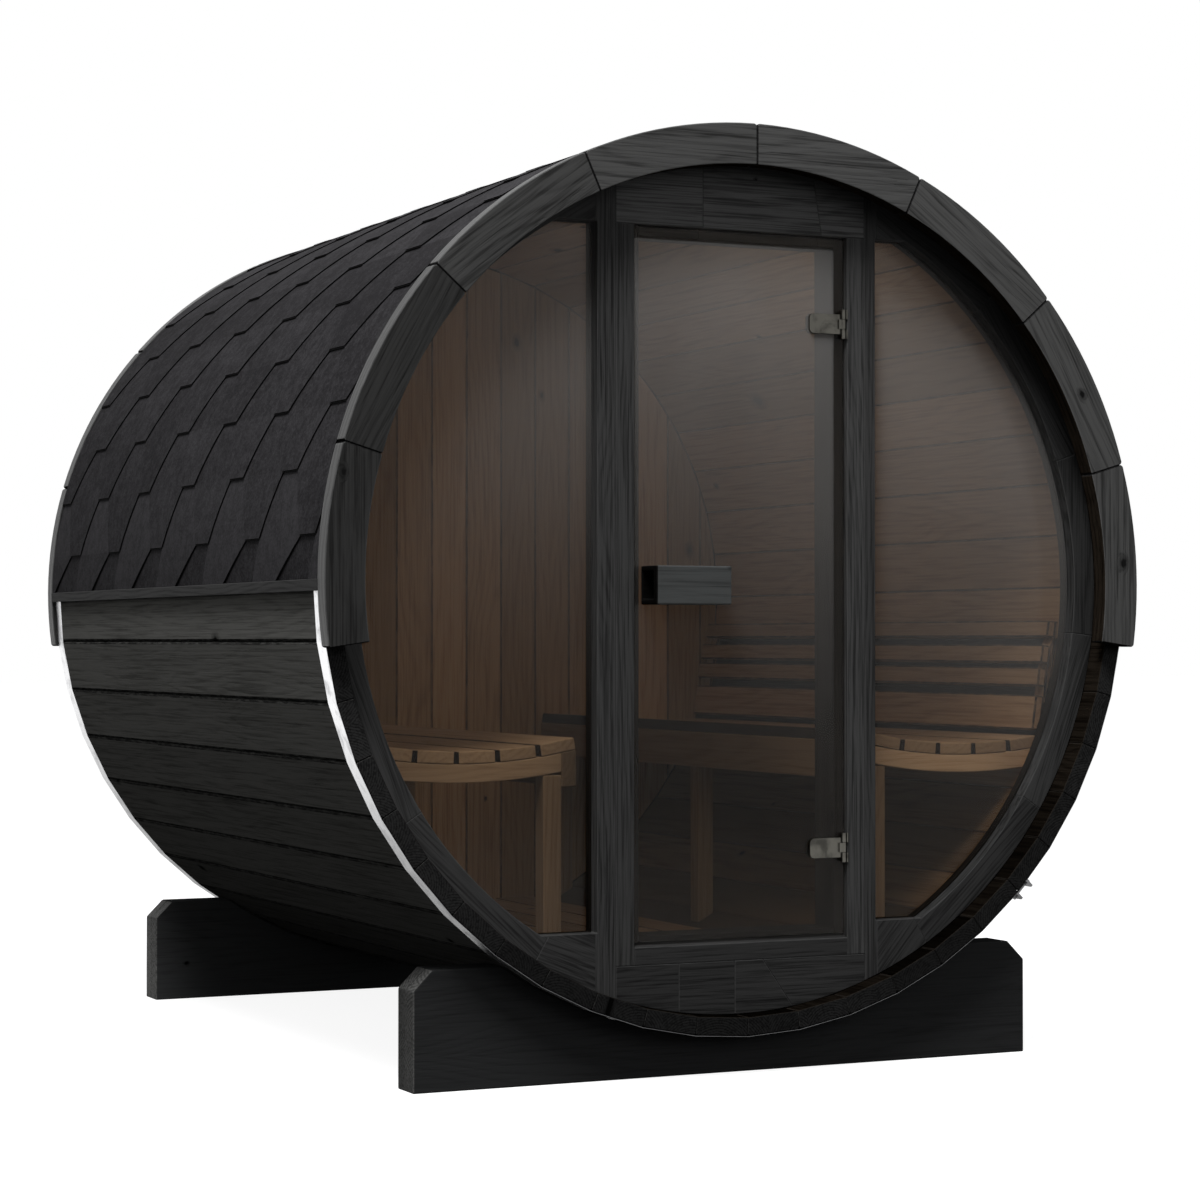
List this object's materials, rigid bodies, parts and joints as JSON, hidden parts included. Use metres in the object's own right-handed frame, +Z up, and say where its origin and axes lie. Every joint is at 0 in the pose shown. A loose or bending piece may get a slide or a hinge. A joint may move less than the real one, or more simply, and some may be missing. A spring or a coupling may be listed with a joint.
{
  "type": "barrel sauna",
  "caption": "Timber barrel sauna lying on two cradles, with a glazed front wall, an outward-opening glass door, a shingled roof, steel bands, and benches along both sides.",
  "frame": {"origin": "on the ground, under the middle of the barrel", "axes": "+X to the right seen from the front, +Y along the barrel from the front wall to the back wall, +Z up"},
  "size_m": [2.0772, 2.2106, 2.154],
  "materials": {
    "stave_timber": "dark stained boards outside, plain inside",
    "trim_timber": "dark stained, brushed grain",
    "frame_timber": "dark stained",
    "cradle_timber": "nearly black stain",
    "inner_timber": "planed, untreated",
    "handle_timber": "dark stained",
    "shingle": "mineral granules on bitumen felt, anthracite",
    "band_steel": "rolled strip",
    "hinge_steel": "satin",
    "pane_glass": "toughened, grey bronze tint",
    "door_glass": "toughened, grey bronze tint"
  },
  "bodies": {
    "sauna": {"staves_01": "stave_timber", "staves_02": "stave_timber", "staves_03": "stave_timber", "staves_04": "stave_timber", "staves_05": "stave_timber", "staves_06": "stave_timber", "staves_07": "stave_timber", "staves_08": "stave_timber", "staves_09": "stave_timber", "staves_10": "stave_timber", "staves_11": "stave_timber", "staves_12": "stave_timber", "trim_front_right": "trim_timber", "trim_front_left": "trim_timber", "band_front": "band_steel", "cradle_front": "cradle_timber", "trim_back_right": "trim_timber", "trim_back_left": "trim_timber", "band_back": "band_steel", "cradle_back": "cradle_timber", "roof_right": "shingle", "eave_strip_right": "frame_timber", "side_frame_right": "frame_timber", "side_pane_right": "pane_glass", "door_jamb_right": "frame_timber", "bench_seat_right": "inner_timber", "bench_frame_right": "inner_timber", "backrest_right": "inner_timber", "roof_left": "shingle", "eave_strip_left": "frame_timber", "side_frame_left": "frame_timber", "side_pane_left": "pane_glass", "door_jamb_left": "frame_timber", "bench_seat_left": "inner_timber", "bench_frame_left": "inner_timber", "backrest_left": "inner_timber", "front_header": "frame_timber", "front_foot_panel": "frame_timber", "door_sill": "frame_timber", "hinge_leaves": "hinge_steel", "back_wall": "inner_timber", "floor_boards": "inner_timber", "floor_joists": "inner_timber"},
    "door": {"door_glass": "door_glass", "door_handle": "handle_timber", "hinge_clamps": "hinge_steel"}
  },
  "joints": [
    {"name": "door_hinge", "type": "hinge", "parent": "sauna", "child": "door", "pos_m": [0.282, -1.003, 1.1135], "axis": [0, 0, 1], "range_deg": [0, 110]}
  ]
}
